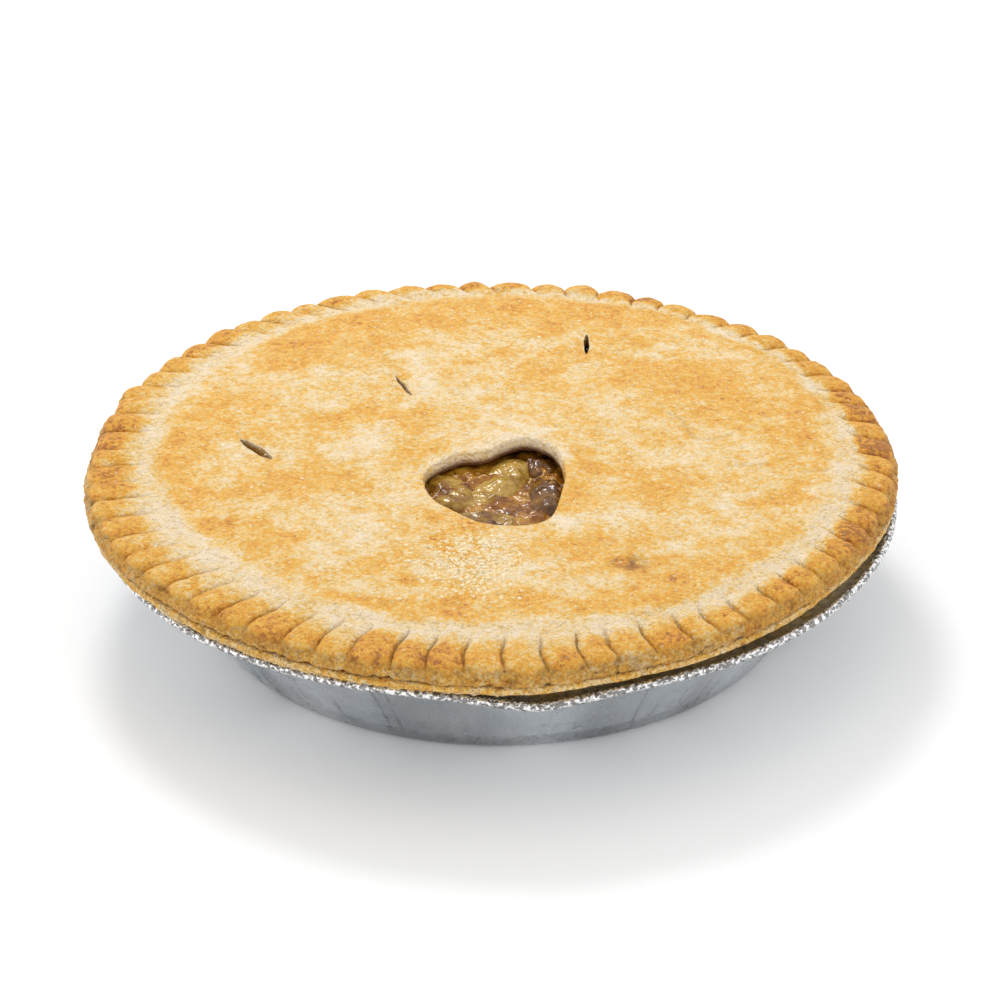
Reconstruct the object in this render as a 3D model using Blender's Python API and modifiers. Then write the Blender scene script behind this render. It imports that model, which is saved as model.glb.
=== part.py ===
"""Apple pie baked in its foil tin, with a crimped rim and an apple-shaped cut-out in the lid.

Metres, +Z up. The origin is the middle of the tin's flat base, and the pie's front looks along -Y.
Lengths below are in millimetres and are turned into metres by MM.
"""
import math
import random

import bmesh
import bpy
from mathutils import Matrix, Vector

MM = 0.001
SEED = 11

# Foil tin
TIN_BASE_RADIUS = 88.3
TIN_WALL_TOP_RADIUS = 110.0
TIN_RIM_RADIUS = 121.4
TIN_WALL = 0.8
FLANGE_HEIGHT = 35.6
BEAD_RADIUS = 1.3
BEAD_HEIGHT = 36.4
FLANGE_TILT = 0.010
FLANGE_SPREAD = 2.4
TIN_COLUMNS = 66

# Pastry case that lines the tin
GAP = 0.3
TIN_FIT = 0.45
CASE_RIM_RADIUS = 123.6
CASE_RIM_TOP = 43.8
CASE_LIP_HEIGHT = 38.9
CASE_LIP_RADIUS = 121.5

# Lid with its crimped rim
CRIMPS = 67
COLUMNS_PER_CRIMP = 4
FIRST_GROOVE = math.radians(-88.1)
RIM_RADIUS = 124.6
RIM_WIDEST_HEIGHT = 45.8
LID_EDGE_RADIUS = 103.5
LID_EDGE_HEIGHT = 51.9
LID_MIDDLE_HEIGHT = 54.0
LID_THICKNESS = 4.4
RIM_SHIFT_X = -2.8
RIM_SHIFT_Y = -1.8
CORNER_ANGLE = math.radians(-84.4)
CORNER_WIDTH = 0.17

# Apple-shaped cut-out: points of its smooth outline, seen from above with the stalk end at the back
CUTOUT_OUTLINE = [
    (-4.6, -1.6), (-12.5, -2.6), (-19.5, -8.5), (-23.0, -16.5), (-20.2, -29.0), (-13.0, -38.8),
    (-4.5, -45.2), (7.0, -45.6), (15.4, -41.0), (19.0, -26.0), (20.2, -13.0), (16.4, 0.2), (7.0, 5.6),
]
CUTOUT_FLOOR = 45.2

# Steam vents: middle, length, width and direction
VENTS = [
    (27.4, 72.0, 13.5, 1.8, math.radians(90.0)),
    (-74.4, 3.9, 15.9, 2.2, math.radians(-53.0)),
    (-29.5, 43.4, 14.3, 1.1, math.radians(-69.5)),
]

# Apple slices in the cut-out: middle, size, turn about Z and lean. Subdivision shrinks a block,
# so its cage is larger than the slice by CAGE_SPARE.
CAGE_SPARE = 1.5
APPLE_SLICES = [
    ((-14.8, -15.0, 45.3), (12.0, 21.0, 6.2), 14.0, 6.0),
    ((0.8, -9.6, 45.4), (11.0, 24.0, 6.4), -22.0, -8.0),
    ((13.0, 0.2, 45.2), (8.4, 8.4, 6.0), 20.0, 5.0),
    ((14.2, -18.5, 45.2), (8.6, 21.0, 6.2), 6.0, -10.0),
    ((-3.4, -34.6, 45.1), (21.0, 11.0, 5.6), 14.0, 7.0),
]


def new_collection(name):
    collection = bpy.data.collections.new(name)
    bpy.context.scene.collection.children.link(collection)
    return collection


def material(name, colour, roughness, metallic=0.0):
    made = bpy.data.materials.new(name)
    made.use_nodes = True
    shader = made.node_tree.nodes["Principled BSDF"]
    shader.inputs["Base Color"].default_value = (*colour, 1.0)
    shader.inputs["Roughness"].default_value = roughness
    shader.inputs["Metallic"].default_value = metallic
    return made


def baked_mesh(thing):
    """The object's mesh with its modifiers applied, and the modifiers taken off."""
    graph = bpy.context.evaluated_depsgraph_get()
    mesh = bpy.data.meshes.new_from_object(thing.evaluated_get(graph))
    thing.modifiers.clear()
    old = thing.data
    thing.data = mesh
    bpy.data.meshes.remove(old)
    return mesh


def turned(name, profile, columns, collection):
    """A closed solid turned about Z from a profile that runs from the axis at the top, down the
    outer side, to the axis at the bottom."""
    mesh = bpy.data.meshes.new(name)
    points = [(radius * MM, 0.0, height * MM) for radius, height in profile]
    edges = [(i, i + 1) for i in range(len(points) - 1)]
    mesh.from_pydata(points, edges, [])
    thing = bpy.data.objects.new(name, mesh)
    collection.objects.link(thing)
    screw = thing.modifiers.new("Turn", "SCREW")
    screw.axis = "Z"
    screw.steps = columns
    screw.render_steps = columns
    screw.use_merge_vertices = True
    screw.merge_threshold = 0.00001
    baked_mesh(thing)
    return thing


def reshape(thing, rule):
    """Moves each point of a mesh by a rule that takes and gives millimetres."""
    for vertex in thing.data.vertices:
        x, y, z = rule(vertex.co.x / MM, vertex.co.y / MM, vertex.co.z / MM)
        vertex.co = (x * MM, y * MM, z * MM)
    thing.data.update()


def triangulate(thing):
    shape = bmesh.new()
    shape.from_mesh(thing.data)
    bmesh.ops.triangulate(shape, faces=shape.faces)
    shape.to_mesh(thing.data)
    shape.free()


def ramp(value, low, high):
    """0 below low, 1 above high, and a smooth step between them."""
    share = min(max((value - low) / (high - low), 0.0), 1.0)
    return share * share * (3.0 - 2.0 * share)


def corner(angle):
    """1 where the tin's rim was bent into a blunt corner at the front, falling to 0 around it."""
    away = math.remainder(angle - CORNER_ANGLE, math.tau)
    return math.exp(-(away / CORNER_WIDTH) ** 2)


def flange_warp(x, y, z):
    """The handled tin: its flange is a little higher on the right, spread on the left, and bent
    out at one corner."""
    radius = math.hypot(x, y)
    amount = ramp(radius, 103.0, 115.0) * ramp(z, 26.0, 34.0)
    bend = corner(math.atan2(y, x)) * ramp(radius, 111.0, TIN_RIM_RADIUS)
    spread = FLANGE_SPREAD * ramp(-x, 10.0, 100.0) * ramp(radius, 111.0, 119.0)
    stretch = 1.0 + 3.8 * bend / max(radius, 1.0)
    return x * stretch - spread, y * stretch, z + FLANGE_TILT * x * amount - 1.5 * bend


def rim_shift(x, y, z):
    """The pastry rim sits a little left and in front of the tin's middle, and bulges over the
    tin's bent corner."""
    radius = math.hypot(x, y)
    share = ramp(radius, 107.0, 117.0)
    bulge = corner(math.atan2(y, x)) * share
    stretch = 1.0 + 2.2 * bulge / max(radius, 1.0)
    drop = 0.7 * bulge * ramp(CASE_RIM_TOP - z, 1.0, 5.0)
    return x * stretch + RIM_SHIFT_X * share, y * stretch + RIM_SHIFT_Y * share, z - drop


def foil_tin(collection):
    """A thin pressed dish: flat base, sloping wall, narrow flange and a rolled bead."""
    bead_middle = TIN_RIM_RADIUS - BEAD_RADIUS
    bead = []
    for step in range(6):
        turn = math.radians(150.0 - 50.0 * step)
        bead.append((bead_middle + BEAD_RADIUS * math.cos(turn), BEAD_HEIGHT + BEAD_RADIUS * math.sin(turn)))
    profile = [(0.0, TIN_WALL), (TIN_BASE_RADIUS - 3.4, TIN_WALL)]
    profile += [(TIN_BASE_RADIUS - 1.2, TIN_WALL + 1.0), (99.0, 18.6)]
    profile += [(TIN_WALL_TOP_RADIUS - 0.9, FLANGE_HEIGHT - 1.4)]
    profile += [(TIN_WALL_TOP_RADIUS + 0.8, FLANGE_HEIGHT + 0.6), (116.5, FLANGE_HEIGHT + 0.7)]
    profile += bead
    profile += [(116.5, FLANGE_HEIGHT - 0.1), (TIN_WALL_TOP_RADIUS + 1.1, FLANGE_HEIGHT - 0.2)]
    profile += [(TIN_WALL_TOP_RADIUS - 0.1, FLANGE_HEIGHT - 1.6), (99.8, 18.2)]
    profile += [(TIN_BASE_RADIUS, 1.2), (TIN_BASE_RADIUS - 2.6, 0.0), (0.0, 0.0)]
    tin = turned("foil_tin", profile, TIN_COLUMNS, collection)
    reshape(tin, flange_warp)
    tin.data.materials.append(material("Pressed foil", (0.62, 0.65, 0.68), 0.28, 1.0))
    return tin


def case_rule(x, y, z):
    """The lower pastry follows the tin up to the flange, then the shifted rim with a ragged lip."""
    radius = math.hypot(x, y)
    if radius < 115.5 and z < 39.0:
        return flange_warp(x, y, z)
    angle = math.atan2(y, x)
    rough = 0.45 * math.sin(19 * angle + 1.0) + 0.3 * math.sin(31 * angle) if radius > 119.0 else 0.0
    lift = 0.35 * rough if z < CASE_RIM_TOP - 1.0 else 0.0
    stretch = 1.0 + 0.6 * rough / radius
    return rim_shift(x * stretch, y * stretch, z + lift)


def bottom_crust(collection):
    """The pastry case: it lines the tin, lies on the flange and shows as the paler lower rim."""
    inner_top = CASE_RIM_TOP
    profile = [(0.0, 5.0), (82.4, 5.2), (85.2, 6.8), (103.6, 34.6), (106.6, inner_top)]
    profile += [(CASE_RIM_RADIUS, inner_top), (122.9, 41.2), (CASE_LIP_RADIUS, CASE_LIP_HEIGHT)]
    profile += [(116.2, 38.7), (114.0, 36.75), (TIN_WALL_TOP_RADIUS + 0.6, 36.65)]
    profile += [(TIN_WALL_TOP_RADIUS - 1.4, FLANGE_HEIGHT - 1.2), (98.5, 18.9)]
    profile += [(TIN_BASE_RADIUS - 1.6, 2.2), (TIN_BASE_RADIUS - 3.5, TIN_WALL + TIN_FIT)]
    profile += [(0.0, TIN_WALL + TIN_FIT)]
    case = turned("bottom_crust", profile, TIN_COLUMNS, collection)
    reshape(case, case_rule)
    case.data.materials.append(material("Pale pastry", (0.70, 0.47, 0.24), 0.72))
    return case


def lid_swell(x, y):
    """Height of the lid's soft unevenness: a low dome with broad waves and a lip at the cut-out."""
    radius = math.hypot(x, y)
    fall = 1.0 - (radius / LID_EDGE_RADIUS) ** 2
    waves = 0.5 * math.sin(0.055 * x + 1.1) * math.cos(0.048 * y) + 0.3 * math.sin(0.11 * x - 0.07 * y)
    return max(fall, 0.0) ** 0.5 * waves


class CrimpedRim:
    """Finger crimps round the rim: rounded scallops parted by narrow grooves."""

    def __init__(self):
        draw = random.Random(SEED)
        self.height = [draw.uniform(-0.45, 0.45) for _ in range(CRIMPS)]
        self.reach = [draw.uniform(-0.7, 0.6) for _ in range(CRIMPS)]

    def __call__(self, x, y, z):
        radius = math.hypot(x, y)
        top_side = z > 49.6 or (radius > 110.0 and z > CASE_RIM_TOP + 1.0)
        if radius < LID_EDGE_RADIUS + 1.0 or not top_side:
            swell = lid_swell(x, y) if radius < LID_EDGE_RADIUS else 0.0
            scallop = 0.0
            if radius > 120.0:
                scallop = self.shape(math.atan2(y, x))[0] * 0.5
            stretch = 1.0 + scallop / max(radius, 1.0)
            return rim_shift(x * stretch, y * stretch, z + swell)
        bulge, number = self.shape(math.atan2(y, x))
        share = ramp(radius, 106.0, 115.0)
        out = ramp(radius, 112.0, RIM_RADIUS)
        stretch = 1.0 + out * (bulge + self.reach[number]) / radius
        lift = share * (1.15 * bulge + self.height[number])
        return rim_shift(x * stretch, y * stretch, z + lift)

    def shape(self, angle):
        """Scallop height in millimetres at an angle, and the number of the crimp there."""
        turn = ((angle - FIRST_GROOVE) / math.tau * CRIMPS) % CRIMPS
        number = int(turn + 0.001) % CRIMPS
        along = turn - math.floor(turn + 0.001)
        return 1.5 * max(math.sin(math.pi * min(max(along, 0.0), 1.0)), 0.0) ** 0.6 - 1.0, number


def thin_lid_columns(thing):
    """Keeps every fourth radial edge inside the lid, where the fine columns aren't needed."""
    shape = bmesh.new()
    shape.from_mesh(thing.data)
    step = math.tau / (CRIMPS * COLUMNS_PER_CRIMP)
    extra = []
    for edge in shape.edges:
        middle = (edge.verts[0].co + edge.verts[1].co) / 2.0
        if middle.xy.length > (LID_EDGE_RADIUS - 0.8) * MM:
            continue
        angles = [math.atan2(v.co.y, v.co.x) for v in edge.verts if v.co.xy.length > 1e-6]
        radial = len(angles) == 1 or abs(math.remainder(angles[0] - angles[1], math.tau)) < step * 0.2
        if radial and round(angles[0] / step) % COLUMNS_PER_CRIMP:
            extra.append(edge)
    bmesh.ops.dissolve_edges(shape, edges=extra, use_verts=True)
    shape.to_mesh(thing.data)
    shape.free()


def outline_cutter(name, points, low, high, collection, grow=0.0):
    """An upright cutter with a smooth closed outline through the points."""
    middle = Vector((sum(p[0] for p in points), sum(p[1] for p in points))) / len(points)
    curve = bpy.data.curves.new(name, "CURVE")
    curve.dimensions = "2D"
    curve.fill_mode = "BOTH"
    curve.resolution_u = 3
    curve.extrude = (high - low) * MM / 2.0
    spline = curve.splines.new("BEZIER")
    spline.bezier_points.add(len(points) - 1)
    for knot, (x, y) in zip(spline.bezier_points, points):
        away = (Vector((x, y)) - middle).normalized() * grow
        knot.co = ((x + away.x) * MM, (y + away.y) * MM, 0.0)
        knot.handle_left_type = "AUTO"
        knot.handle_right_type = "AUTO"
    spline.use_cyclic_u = True
    flat = bpy.data.objects.new(name + "_curve", curve)
    flat.location = (0.0, 0.0, (low + high) * MM / 2.0)
    collection.objects.link(flat)
    bpy.context.view_layer.update()
    graph = bpy.context.evaluated_depsgraph_get()
    mesh = bpy.data.meshes.new_from_object(flat.evaluated_get(graph))
    shape = bmesh.new()
    shape.from_mesh(mesh)
    bmesh.ops.remove_doubles(shape, verts=shape.verts, dist=0.000001)
    bmesh.ops.recalc_face_normals(shape, faces=shape.faces)
    shape.to_mesh(mesh)
    shape.free()
    cutter = bpy.data.objects.new(name, mesh)
    cutter.matrix_world = flat.matrix_world.copy()
    collection.objects.link(cutter)
    bpy.data.objects.remove(flat)
    hide_cutter(cutter)
    return cutter


def hide_cutter(cutter):
    cutter.hide_render = True
    cutter.display_type = "WIRE"


def vent_cutter(name, vent, collection):
    """A narrow slit with pointed ends, cut through the lid's full thickness."""
    x, y, length, width, direction = vent
    shape = bmesh.new()
    bmesh.ops.create_cone(shape, cap_ends=True, segments=8, radius1=0.5, radius2=0.5, depth=1.0)
    bmesh.ops.scale(shape, vec=(length * MM, width * MM, 14.0 * MM), verts=shape.verts)
    bmesh.ops.rotate(shape, matrix=Matrix.Rotation(direction, 3, "Z"), verts=shape.verts)
    bmesh.ops.translate(shape, vec=(x * MM, y * MM, 51.0 * MM), verts=shape.verts)
    mesh = bpy.data.meshes.new(name)
    shape.to_mesh(mesh)
    shape.free()
    cutter = bpy.data.objects.new(name, mesh)
    collection.objects.link(cutter)
    hide_cutter(cutter)
    return cutter


def cut(thing, cutter):
    """Takes the cutter's shape out of a solid for good."""
    tool = thing.modifiers.new("Cut", "BOOLEAN")
    tool.operation = "DIFFERENCE"
    tool.solver = "EXACT"
    tool.object = cutter
    bpy.context.view_layer.update()
    baked_mesh(thing)


def top_crust(collection, cutters):
    """The lid: a low uneven dome, a shallow valley, the crimped rim, the cut-out and the vents."""
    edge = LID_EDGE_HEIGHT
    profile = [(0.0, LID_MIDDLE_HEIGHT), (32.0, 53.9), (62.0, 53.5), (86.0, 52.9), (98.5, 52.3)]
    profile += [(LID_EDGE_RADIUS, edge), (107.0, edge - 1.1), (110.0, edge - 1.5), (114.0, edge - 1.3)]
    profile += [(118.5, edge - 1.8), (122.4, edge - 3.7), (RIM_RADIUS, RIM_WIDEST_HEIGHT)]
    profile += [(CASE_RIM_RADIUS + 0.3, CASE_RIM_TOP + GAP), (107.2, CASE_RIM_TOP + GAP)]
    profile += [(LID_EDGE_RADIUS, edge - LID_THICKNESS - 0.6), (98.5, 52.3 - LID_THICKNESS)]
    profile += [(62.0, 53.5 - LID_THICKNESS), (0.0, LID_MIDDLE_HEIGHT - LID_THICKNESS)]
    lid = turned("top_crust", profile, CRIMPS * COLUMNS_PER_CRIMP, collection)
    turn = Matrix.Rotation(FIRST_GROOVE, 4, "Z")
    thin_lid_columns(lid)
    lid.data.transform(turn)
    reshape(lid, CrimpedRim())
    triangulate(lid)
    cut(lid, outline_cutter("cutout_cutter", CUTOUT_OUTLINE, 44.0, 60.0, cutters))
    for number, vent in enumerate(VENTS):
        cut(lid, vent_cutter(f"vent_cutter_{number + 1}", vent, cutters))
    lid.data.materials.append(material("Golden pastry", (0.78, 0.52, 0.23), 0.62))
    return lid


def apple_slice(name, slice_place, collection, grow=0.0):
    """A soft wedge of cooked apple: a tapered block rounded by subdivision."""
    (x, y, z), (width, length, depth), turn, lean = slice_place
    shape = bmesh.new()
    bmesh.ops.create_cube(shape, size=1.0)
    for vertex in shape.verts:
        taper = 0.62 if vertex.co.z > 0.0 else 1.0
        end = 0.72 if vertex.co.y > 0.0 else 1.0
        vertex.co.x *= taper * end * (width * CAGE_SPARE + 2.0 * grow) * MM
        vertex.co.y *= (length * CAGE_SPARE + 2.0 * grow) * MM
        vertex.co.z *= (depth * CAGE_SPARE + 2.0 * grow) * MM
    rotation = Matrix.Rotation(math.radians(turn), 3, "Z") @ Matrix.Rotation(math.radians(lean), 3, "Y")
    bmesh.ops.rotate(shape, matrix=rotation, verts=shape.verts)
    bmesh.ops.translate(shape, vec=(x * MM, y * MM, z * MM), verts=shape.verts)
    mesh = bpy.data.meshes.new(name)
    shape.to_mesh(mesh)
    shape.free()
    thing = bpy.data.objects.new(name, mesh)
    collection.objects.link(thing)
    soft = thing.modifiers.new("Soften", "SUBSURF")
    soft.levels = 2
    soft.render_levels = 2
    bpy.context.view_layer.update()
    baked_mesh(thing)
    return thing


def filling(collection, cutters):
    """The sweet filling: it fills the case, dips under the cut-out and holds the apple slices."""
    under = LID_THICKNESS + GAP + 0.1
    profile = [(0.0, LID_MIDDLE_HEIGHT - under), (62.0, 53.5 - under), (98.5, 52.3 - under)]
    profile += [(LID_EDGE_RADIUS - 0.9, LID_EDGE_HEIGHT - under - 0.7), (105.6, 43.6), (103.1, 34.8)]
    profile += [(84.8, 7.3), (82.0, 5.6), (0.0, 5.4)]
    core = turned("filling", profile, CRIMPS, collection)
    core.data.transform(Matrix.Rotation(FIRST_GROOVE, 4, "Z"))

    def follow_lid(x, y, z):
        return x, y, z + (lid_swell(x, y) if z > 44.5 else 0.0)

    reshape(core, follow_lid)
    triangulate(core)
    cut(core, outline_cutter("dip_cutter", CUTOUT_OUTLINE, CUTOUT_FLOOR, 60.0, cutters, grow=1.5))
    for number, place in enumerate(APPLE_SLICES):
        pocket = apple_slice(f"pocket_cutter_{number + 1}", place, cutters, grow=GAP + 0.1)
        hide_cutter(pocket)
        cut(core, pocket)
    core.data.materials.append(material("Amber filling", (0.30, 0.15, 0.04), 0.15))
    return core


def build():
    for thing in list(bpy.data.objects):
        bpy.data.objects.remove(thing)
    pie = new_collection("Apple pie in foil tin")
    cutters = new_collection("Cutters")
    smooth = [foil_tin(pie), bottom_crust(pie), top_crust(pie, cutters), filling(pie, cutters)]
    fruit = material("Cooked apple", (0.55, 0.42, 0.16), 0.2)
    for number, place in enumerate(APPLE_SLICES):
        piece = apple_slice(f"apple_slice_{number + 1}", place, pie)
        piece.data.materials.append(fruit)
        smooth.append(piece)
    for thing in smooth:
        thing.data.shade_smooth()
        thing.data.set_sharp_from_angle(angle=math.radians(35.0))


build()
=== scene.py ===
"""Apple pie in its foil tin: the finish of every surface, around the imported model.

Lengths in the shape functions are millimetres; surface() turns them into metres.
"""
import math

import bpy
import numpy as np
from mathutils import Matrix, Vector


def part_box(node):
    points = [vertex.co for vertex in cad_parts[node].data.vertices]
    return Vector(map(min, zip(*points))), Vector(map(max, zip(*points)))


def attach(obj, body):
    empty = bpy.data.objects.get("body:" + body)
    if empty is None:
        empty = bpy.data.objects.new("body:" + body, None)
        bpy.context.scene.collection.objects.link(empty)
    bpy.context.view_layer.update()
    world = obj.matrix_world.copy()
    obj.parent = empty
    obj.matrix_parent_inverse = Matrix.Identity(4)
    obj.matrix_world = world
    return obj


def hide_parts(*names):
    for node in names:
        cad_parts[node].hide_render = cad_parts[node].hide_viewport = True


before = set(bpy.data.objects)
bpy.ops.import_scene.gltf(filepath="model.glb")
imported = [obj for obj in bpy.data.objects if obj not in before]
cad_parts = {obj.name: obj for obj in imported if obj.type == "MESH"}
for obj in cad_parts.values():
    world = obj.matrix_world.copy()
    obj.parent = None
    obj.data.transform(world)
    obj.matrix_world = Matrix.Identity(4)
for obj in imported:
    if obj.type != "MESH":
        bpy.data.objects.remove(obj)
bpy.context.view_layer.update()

MM = 0.001
TAU = math.tau

# Crimped rim and lid, as built
CRIMPS = 67
FIRST_GROOVE = math.radians(-88.1)
LID_EDGE = 103.5
LID_EDGE_HEIGHT = 51.9
LID_THICKNESS = 4.4
DOME_RADII = [0.0, 32.0, 62.0, 86.0, 98.5, LID_EDGE]
DOME_HEIGHTS = [54.0, 53.9, 53.5, 52.9, 52.3, LID_EDGE_HEIGHT]
WALL_ROWS = 8
RIM_SHIFT_X = -2.8
RIM_SHIFT_Y = -1.8
CORNER_ANGLE = math.radians(-84.4)
CORNER_WIDTH = 0.17
SEAM_HEIGHT = 43.95
RIM_STEPS = 18
LID_COLUMNS = CRIMPS * 8

# Cut-out in the lid
CUTOUT_OUTLINE = [
    (-4.6, -1.6), (-12.5, -2.6), (-19.5, -8.5), (-23.0, -16.5), (-20.2, -29.0), (-13.0, -38.8),
    (-4.5, -45.2), (7.0, -45.6), (15.4, -41.0), (19.0, -26.0), (20.2, -13.0), (16.4, 0.2), (7.0, 5.6),
]
CUTOUT_MIDDLE = (-1.0, -18.0)
SYRUP_HEIGHT = 47.4

# Steam vents: middle, length, width and direction
VENTS = [
    (27.4, 72.0, 13.5, 1.8, math.radians(90.0)),
    (-74.4, 3.9, 16.5, 3.4, math.radians(-53.0)),
    (-29.5, 43.4, 14.3, 1.4, math.radians(-69.5)),
]
VENT_STEPS = 24
VENT_LEVELS = (46.0, 58.0)

# Oven colour on the lid: middle, half widths along X and Y, and how much browner or paler
BROWNED = [
    (-101, 2, 13, 24, 0.30), (-96, -32, 12, 16, 0.18), (-70, 68, 16, 10, 0.22), (-47, 84, 16, 8, 0.20),
    (-9, 95, 22, 8, 0.16), (34, 90, 20, 8, 0.20), (59, 52, 15, 14, 0.26), (69, 36, 14, 12, 0.18),
    (98, 30, 8, 13, 0.24), (43, -92, 26, 9, 0.26), (-73, -68, 16, 9, 0.16), (-65, -54, 9, 8, 0.28),
    (-65, -24, 14, 9, 0.14), (-32, -71, 11, 7, 0.16), (24, -30, 7, 10, 0.20),
    (52, -30, 11, 9, 0.14), (67, -79, 15, 8, 0.22), (20, -63, 11, 5, 0.16), (87, -30, 12, 9, 0.14),
    (93, 4, 12, 12, 0.10), (27, 13, 6, 4, 0.14), (-26, 0, 9, 8, 0.24), (-21, 16, 8, 5, 0.14),
    (24, -12, 6, 9, 0.22), (-88, 44, 22, 12, 0.12), (-60, 66, 22, 12, 0.10), (-20, -92, 22, 7, 0.12),
    (10, 62, 20, 10, 0.10),
    (39, -69, 6, 6, 0.5),
]
PALED = [
    (-9, -70, 18, 15, 0.34), (7, 14, 17, 9, 0.22), (-61, 34, 18, 14, 0.14),
    (-37, 8, 15, 11, 0.10), (-15, 34, 14, 10, 0.12), (47, 21, 15, 10, 0.08), (62, -55, 15, 9, 0.06),
    (20, -46, 5, 5, 0.40), (-31, -30, 11, 9, 0.10), (-40, -56, 10, 8, 0.12), (60, 62, 14, 8, 0.08),
]

# Middles of the flaky patch, the burnt pit and the puffed place beside the cut-out
FLAKY_MIDDLE = (-9.0, -70.0)
PIT_MIDDLE = (39.4, -69.0)
PUFF_MIDDLE = (-15.0, 3.0)

# Hairline crack in the lid, as points of its route, and two short scores
CRACK = [(52.3, 25.2), (56.3, 22.0), (57.8, 15.7), (60.0, 9.3), (63.4, 8.1), (68.3, 10.0), (71.7, 11.9)]
SCORES = [((92.3, -10.9), (100.6, -9.0)), ((69.5, -9.0), (81.8, -7.2))]


# Noise and small helpers

def lattice(ix, iy, iz, seed):
    """A repeatable random number from 0 to 1 for each whole-number lattice point."""
    n = (ix * 374761393 + iy * 668265263 + iz * 1442695041 + seed * 974634777) & 0xFFFFFFFF
    n = ((n ^ (n >> 13)) * 1274126177) & 0xFFFFFFFF
    n = ((n ^ (n >> 15)) * 2246822519) & 0xFFFFFFFF
    return ((n >> 8) & 0xFFFF) / 65535.0


def noise(x, y, z, size, seed):
    """Smooth noise from -1 to 1: random lattice values, size millimetres apart, blended by cubic
    steps along the three axes."""
    px, py, pz = x / size, y / size, z / size
    ix, iy, iz = (np.floor(p).astype(np.int64) for p in (px, py, pz))
    steps = []
    for share in (px - ix, py - iy, pz - iz):
        steps.append(share * share * (3.0 - 2.0 * share))
    total = 0.0
    for dx in (0, 1):
        for dy in (0, 1):
            for dz in (0, 1):
                weight = (steps[0] if dx else 1.0 - steps[0]) * (steps[1] if dy else 1.0 - steps[1])
                weight = weight * (steps[2] if dz else 1.0 - steps[2])
                total = total + weight * lattice(ix + dx, iy + dy, iz + dz, seed)
    return total * 2.0 - 1.0


def cloud(x, y, z, size, octaves, seed):
    """Several layers of noise, each half the size and half the strength of the one before."""
    total = 0.0
    strength = 1.0
    for layer in range(octaves):
        total = total + strength * noise(x, y, z, size / 2 ** layer, seed + layer)
        strength *= 0.5
    return total


def ramp(value, low, high):
    """0 below low, 1 above high, and a smooth step between them."""
    share = np.clip((value - low) / (high - low), 0.0, 1.0)
    return share * share * (3.0 - 2.0 * share)


def angle_band(angle, middle, half_width):
    """1 in the middle of a band of directions given in degrees, falling smoothly to 0."""
    away = (np.degrees(angle) - middle + 180.0) % 360.0 - 180.0
    return np.exp(-(away / half_width) ** 2)


def spot(x, y, middle, wide, deep):
    """1 at a place on the lid, falling smoothly to 0: wide along X and deep along Y."""
    return np.exp(-((x - middle[0]) / wide) ** 2 - ((y - middle[1]) / deep) ** 2)


def closed_curve(points, count):
    """A smooth closed curve through the points: a Catmull-Rom spline, count steps in all."""
    knots = np.array(points, float)
    number = len(knots)
    at = np.linspace(0.0, number, count, endpoint=False)
    base = np.floor(at).astype(int)
    t = (at - base)[:, None]
    p0, p1, p2, p3 = (knots[(base + shift) % number] for shift in (-1, 0, 1, 2))
    return 0.5 * (2 * p1 + (p2 - p0) * t + (2 * p0 - 5 * p1 + 4 * p2 - p3) * t ** 2
                  + (3 * p1 - p0 - 3 * p2 + p3) * t ** 3)


def along_profile(points, count):
    """Points evenly spaced along a smooth open curve through the profile's points."""
    knots = np.array(points, float)
    padded = np.vstack([2 * knots[0] - knots[1], knots, 2 * knots[-1] - knots[-2]])
    at = np.linspace(0.0, len(knots) - 1.0, count * 6)
    base = np.minimum(np.floor(at).astype(int), len(knots) - 2)
    t = (at - base)[:, None]
    p0, p1, p2, p3 = (padded[base + shift] for shift in (0, 1, 2, 3))
    fine = 0.5 * (2 * p1 + (p2 - p0) * t + (2 * p0 - 5 * p1 + 4 * p2 - p3) * t ** 2
                  + (3 * p1 - p0 - 3 * p2 + p3) * t ** 3)
    length = np.concatenate([[0.0], np.cumsum(np.linalg.norm(np.diff(fine, axis=0), axis=1))])
    even = np.linspace(0.0, length[-1], count)
    return np.stack([np.interp(even, length, fine[:, i]) for i in range(2)], axis=1)


def add_object(name, data):
    """A new object, linked to the scene."""
    made = bpy.data.objects.new(name, data)
    bpy.context.scene.collection.objects.link(made)
    return made


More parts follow.
